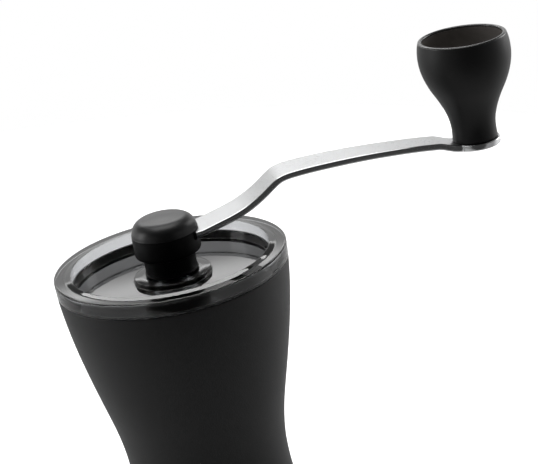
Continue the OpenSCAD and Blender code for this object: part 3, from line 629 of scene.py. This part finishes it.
# %% Arm outline from above
CRANK_R, ARM_T, EYE_R, FILLET, ARM_TAIL, ARM_HALF, ARM_TIP = 99.8, 2.0, 7.7, 1.6, 2.5, 6.3, 5.0
fillet_x = CRANK_R - math.sqrt((EYE_R + FILLET) ** 2 - (ARM_TIP + FILLET) ** 2)
fillet_turn = math.atan2(ARM_TIP + FILLET, CRANK_R - fillet_x)
ARM_TAPER = [(HUB_R, ARM_HALF, 0), (44.9, 6.235, -0.012), (65.9, 5.52, -0.03), (fillet_x, ARM_TIP, 0)]
arm_edge = [(-ARM_TAIL - ARM_HALF * math.cos(a), ARM_HALF * math.sin(a))
            for a in spaced(0.02, math.pi / 2, 16)]
arm_edge += [(x, ARM_HALF) for x in (3, 7)]
arm_edge += [(x, station_curve(ARM_TAPER, x)) for x in spaced(HUB_R, fillet_x, 150)]
arm_edge += [(fillet_x + FILLET * math.cos(a), ARM_TIP + FILLET + FILLET * math.sin(a))
             for a in spaced(-math.pi / 2, -fillet_turn, 10)[1:]]
arm_edge += [(CRANK_R + EYE_R * math.cos(a), EYE_R * math.sin(a))
             for a in spaced(math.pi - fillet_turn, 0.02, 64)[1:]]
print("half the arm's outline has", len(arm_edge), "points")

# %% Arm
ARM_Z, EYE_RISE, ARM_ROUND, SUPPORT = 179.1, 8.1, 0.42, 0.2
ARM_LINE = [(0, 0, 0), (8.7, 0, 0), (16, 1.55, 0.25), (24, 4.005, 0.4), (32, 8.457, 0.72),
            (35.6, 10.875, 0.55), (38.2, 11.768, 0.19), (42, 12.177, 0.06), (50, 12.4, 0),
            (69.86, 11.798, -0.065), (87, 10.198, -0.14), (94.2, EYE_RISE, 0), (108.5, EYE_RISE, 0)]


def on_arm(x, y, down):
    """The place on the bent arm of a point given from above and by its depth below the top face."""
    rise, slope = (station_curve(ARM_LINE, x), station_slope(ARM_LINE, x)) if x > 0.1 else (0, 0)
    lean = Vector((slope, 0, -1)).normalized() * down
    return (Vector((x, y, ARM_Z + rise)) + lean) * MM


def edge_normal(i):
    (xa, ya), (xb, yb) = arm_edge[max(i - 1, 0)], arm_edge[min(i + 1, len(arm_edge) - 1)]
    return Vector((ya - yb, xb - xa)).normalized()


quarter = [(ARM_ROUND * (1 - math.sin(a)), ARM_ROUND * (1 - math.cos(a))) for a in spaced(0, math.pi / 2, 4)]
quarter = [(ARM_ROUND + SUPPORT, 0)] + quarter
arm_rows = quarter + [(inset, ARM_T - down) for inset, down in reversed(quarter)]
arm_bm = bmesh.new()
loops = []
for inset, down in arm_rows:
    half_loop = [Vector(p) - edge_normal(i) * inset for i, p in enumerate(arm_edge)]
    loops.append([arm_bm.verts.new(on_arm(p.x, p.y, down)) for p in half_loop]
                 + [arm_bm.verts.new(on_arm(p.x, -p.y, down)) for p in reversed(half_loop)])
size = len(loops[0])
edge_faces = [arm_bm.faces.new((low[i], low[(i + 1) % size], high[(i + 1) % size], high[i]))
              for low, high in zip(loops, loops[1:]) for i in range(size)]
for loop in loops[0], loops[-1]:
    for i in range(size // 2 - 1):
        arm_bm.faces.new((loop[i], loop[i + 1], loop[size - 2 - i], loop[size - 1 - i]))
for face in edge_faces[size:-size]:
    face.material_index = 1
bmesh.ops.recalc_face_normals(arm_bm, faces=arm_bm.faces)
arm_mesh = to_mesh(arm_bm, "arm_strip", 50)
add_piece("arm_strip", arm_mesh, "crank", "crank_arm", "arm_steel", arm_satin, arm_polish)


# %% [markdown]
# Knob
#
# The knob is a thin-walled cup on a narrow foot, turned on the lathe like the rest. It spins on a rivet
# whose head shows at the bottom of the cup. Its lip is rounded, and that edge is the bright line round
# its mouth. The inside and the lip have finishes of their own, picked by where each face lies. The
# inside's is painted light: a light brown-grey that stands in for light falling into the black cup.

# %% Knob
KNOB_Z, KNOB_H, KNOB_WALL, CUP_FLOOR = 187.3, 32.5, 1.35, 12
FOOT_OUT_R, FOOT_HOLLOW_R, PIN_HOLE_R, LIP_OUT_R, LIP_H = 7.05, 5.95, 3.05, 13.45, 0.6
KNOB_LINE = [(0, FOOT_OUT_R, -0.1), (3.5, 6.85, 0), (15.525, 10.8, 0.56), (27, 14.25, 0),
             (KNOB_H, LIP_OUT_R, -0.33)]
knob_outline = rounded(
    [(PIN_HOLE_R, 0.5), (FOOT_HOLLOW_R, 0.5), (FOOT_HOLLOW_R, 0), (FOOT_OUT_R, 0, 0.5)]
    + side(KNOB_LINE, 0.9, KNOB_H - 1.6, count=70)
    + [(LIP_OUT_R, KNOB_H, LIP_H), (LIP_OUT_R - KNOB_WALL, KNOB_H, LIP_H)]
    + side(KNOB_LINE, KNOB_H - 1.6, CUP_FLOOR + 3, KNOB_WALL, 40)
    + [(6.9, CUP_FLOOR, 1.6), (PIN_HOLE_R, CUP_FLOOR, 0.2)])
knob_mesh = to_mesh(lathe([(r, z + KNOB_Z) for r, z in knob_outline], (CRANK_R, 0), 128), "knob_cup")
# Faces inside the cup take the painted-light colour in slot 1, and the lip takes slot 2.
for face in knob_mesh.polygons:
    r, z = (face.center / MM - Vector((CRANK_R, 0, 0))).xy.length, face.center.z / MM - KNOB_Z
    inside = z > CUP_FLOOR - 0.2 and r < station_curve(KNOB_LINE, z) - KNOB_WALL * 0.7
    face.material_index = 2 if z > KNOB_H - LIP_H else int(inside)
add_piece("knob_cup", knob_mesh, "knob", "knob", "knob_plastic", knob_black, knob_brown, lip_black)

# %% Rivet
EYE_LOW, HEAD_Z = ARM_Z + EYE_RISE - ARM_T, KNOB_Z + CUP_FLOOR + 0.1
PIN_R, HEAD_R, HEAD_H = 3, 4.6, 1.4
rivet_outline = rounded([
    (0, EYE_LOW - 0.7), (HEAD_R, EYE_LOW - 0.7, 0.5), (HEAD_R, EYE_LOW), (PIN_R, EYE_LOW), (PIN_R, HEAD_Z),
    (HEAD_R, HEAD_Z, 0.2), (HEAD_R, HEAD_Z + 0.9, 0.6), (2.2, HEAD_Z + HEAD_H, 1.0), (0, HEAD_Z + HEAD_H)])
turned("knob_rivet", rivet_outline, "crank", "knob_pin", "shaft_steel", turned_steel, (CRANK_R, 0), 64)


# %% [markdown]
# Solids that stay
#
# The burrs, the shaft, the washers and the nut are right as they came, so they keep their mesh and get
# a finish. The spring's wire has few sides in the solids. Its loose triangles are welded and subdivided
# by modifiers, which leave the solid itself as it is.

# %% Finishes of the solids that stay
STAY = {"shaft_bush": bush_acetal, "outer_burr": burr_ceramic, "burr_holder": inner_black,
        "drive_shaft": turned_steel, "thrust_washer": turned_steel, "upper_spring_washer": turned_steel,
        "burr_spring": spring_steel, "lower_spring_washer": turned_steel, "inner_burr": burr_ceramic,
        "burr_carrier": inner_black, "adjusting_nut": inner_black, "nut_insert": turned_brass,
        "hub_screws": turned_steel, "knob_washer": turned_steel}
for node_name, material in STAY.items():
    solid = frame["nodes"][node_name]
    solid.data.materials.clear()
    solid.data.materials.append(material)
coil = frame["nodes"]["burr_spring"]
weld = coil.modifiers.new("weld", "WELD")
weld.merge_threshold = 0.00001
smooth = coil.modifiers.new("smooth", "SUBSURF")
smooth.levels = smooth.render_levels = 2
print(len(STAY), "solids keep their mesh")


# %% [markdown]
# Floor
#
# The mill stands on a plain pale floor. The photograph's ground is white, and more lamps would turn the
# black plastic grey. So the floor gives off light of its own, but only to the camera, and more weakly to
# light that comes through the smoked lid. All else sees a lit floor with the mill's shadow on it.

# %% Floor
FLOOR_R, FLOOR_AT, THROUGH_LID = 0.6, (-0.2, 0.25, 0), 0.62
floor_bm = bmesh.new()
bmesh.ops.create_circle(floor_bm, cap_ends=True, segments=96, radius=FLOOR_R,
                        matrix=Matrix.Translation(FLOOR_AT))
floor_mesh = bpy.data.meshes.new("floor")
floor_bm.to_mesh(floor_mesh)
floor_bm.free()
floor = bpy.data.objects.new("floor", floor_mesh)
bpy.context.scene.collection.objects.link(floor)
pale = Finish("floor_pale", Roughness=0.9, Specular_IOR_Level=0.1, Emission_Strength=1.0)
speck = pale.noise(900, 2)
ray = pale.node("ShaderNodeLightPath")
pale.set(Base_Color=pale.mix(speck, (0.78, 0.78, 0.78), (0.82, 0.82, 0.82)))
shown = ray.math("MAXIMUM", ray.out("Is Camera Ray"), ray.out("Is Transmission Ray") * THROUGH_LID)
pale.set(Emission_Color=pale.mix(shown, (0, 0, 0), (0.8, 0.8, 0.8)))
floor_mesh.materials.append(pale.material)
print("floor disc is", 2 * FLOOR_R, "m across")

# %% [markdown]
# World
#
# The room is bright behind the mill and dim in front of it, which keeps the black front dark and lets
# the edges and the steel shine. The lid's floor lies level, so it mirrors one low band of the room
# behind. A narrow bright band there, with dark above it, gives the floor its fall from light to dark.
# Light that comes through the lid meets a softer glow instead, so that the far rim stays even.

# %% World
world = bpy.data.worlds.new("studio")
world.use_nodes = True
bpy.context.scene.world = world
sky = Net(world.node_tree)
background = world.node_tree.nodes["Background"]
split = sky.node("ShaderNodeSeparateXYZ", Vector=sky.node("ShaderNodeTexCoord").out("Generated"))
height, front = split.out("Z"), 0 - split.out("Y") - split.out("X") * 0.07


def ease(value, low, high, start, end):
    return sky.node("ShaderNodeMapRange", {"interpolation_type": "SMOOTHSTEP"}, Value=value,
                    From_Min=low, From_Max=high, To_Min=start, To_Max=end)


room = ease(front, -0.3, 0.35, 0.85, 0.28) * ease(front, 0.72, 0.88, 1.0, 0.16)
band = (1.15 + ease(height, 0.3405, 0.354, 0.0, 2.1) - ease(height, 0.354, 0.36, 0.0, 1.8)
        - ease(height, 0.36, 0.372, 0.0, 1.2))
glow = 1.15 + ease(height, 0.2, 0.34, 0.0, 0.35) - ease(height, 0.36, 0.42, 0.0, 1.2)
rays = sky.node("ShaderNodeLightPath")
seen, through = rays.out("Is Camera Ray"), rays.out("Is Transmission Ray")
studio = room * (through * glow + (1 - through) * band)
sky.plug(background.inputs["Strength"], seen + (1 - seen) * studio)
background.inputs["Color"].default_value = (1, 1, 1, 1)
print("the world has", len(world.node_tree.nodes), "nodes")


# %% [markdown]
# Lamps
#
# Four softboxes stand round the mill. The top one lights the cap and the arm, the one at the back draws
# the bright line along the lid's bead, and the two at the sides edge the body. Lamps show as crisp
# shapes in polished faces, where a bright patch in the world would be grainy.

# %% Lamps
def softbox(name, place, target, size, power):
    data = bpy.data.lights.new(name, "AREA")
    data.shape = "RECTANGLE"
    data.size, data.size_y = size
    data.energy = power
    made = bpy.data.objects.new(name, data)
    made.location = place
    made.rotation_euler = (Vector(target) - Vector(place)).to_track_quat("-Z", "Y").to_euler()
    made.visible_camera = False
    bpy.context.scene.collection.objects.link(made)
    print(name, "gives", power, "W")


softbox("top_softbox", (0, 0.08, 0.95), (0, 0, 0.17), (0.7, 0.5), 3)
softbox("back_softbox", (0, 0.89, 0.817), (0, 0, 0.17), (0.7, 0.31), 2.8)
softbox("left_softbox", (-0.8, 0.1, 0.35), (0, 0, 0.14), (0.3, 0.6), 1.5)
softbox("right_softbox", (0.8, 0.3, 0.35), (0, 0, 0.14), (0.3, 0.6), 1.5)

# %% View transform
bpy.context.scene.view_settings.view_transform = "Standard"
